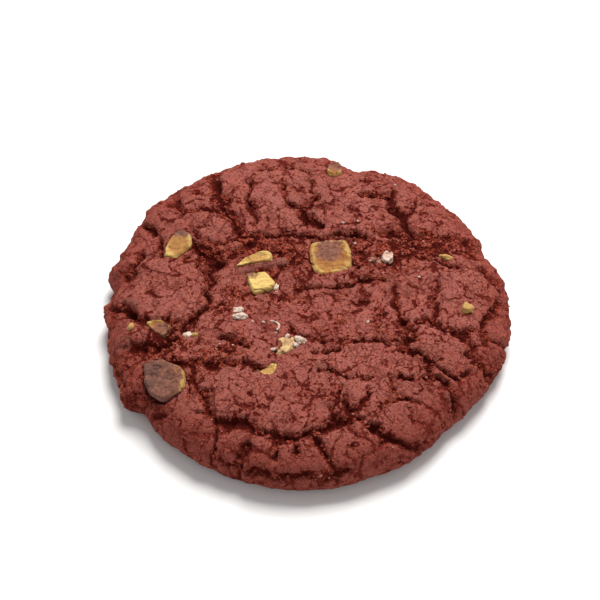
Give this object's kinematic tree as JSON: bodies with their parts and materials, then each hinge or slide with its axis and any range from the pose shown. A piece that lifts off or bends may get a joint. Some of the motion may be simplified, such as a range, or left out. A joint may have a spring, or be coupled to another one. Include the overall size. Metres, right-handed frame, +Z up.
{
  "type": "red velvet cookie",
  "caption": "Thick round baked cookie with a crackled dark red crust and browned white chocolate pieces set in its top.",
  "frame": {"origin": "middle of the flat base that the cookie rests on", "axes": "+Z up through the thickness, -Y towards the side nearest the camera in the picture, +X to that view's right"},
  "size_m": [0.096, 0.0966, 0.0151],
  "materials": {
    "crust": "matt, rough baked crumb",
    "chocolate": "satin"
  },
  "bodies": {
    "root": {"cookie": "crust", "chunk_square": "chocolate", "chunk_left": "chocolate", "chunk_arch": "chocolate", "chunk_bright": "chocolate", "chunk_large": "chocolate", "chunk_tucked": "chocolate", "chunk_back": "chocolate", "chunk_white": "chocolate", "chunk_crumbled": "chocolate", "chunk_sliver": "chocolate"}
  },
  "joints": []
}
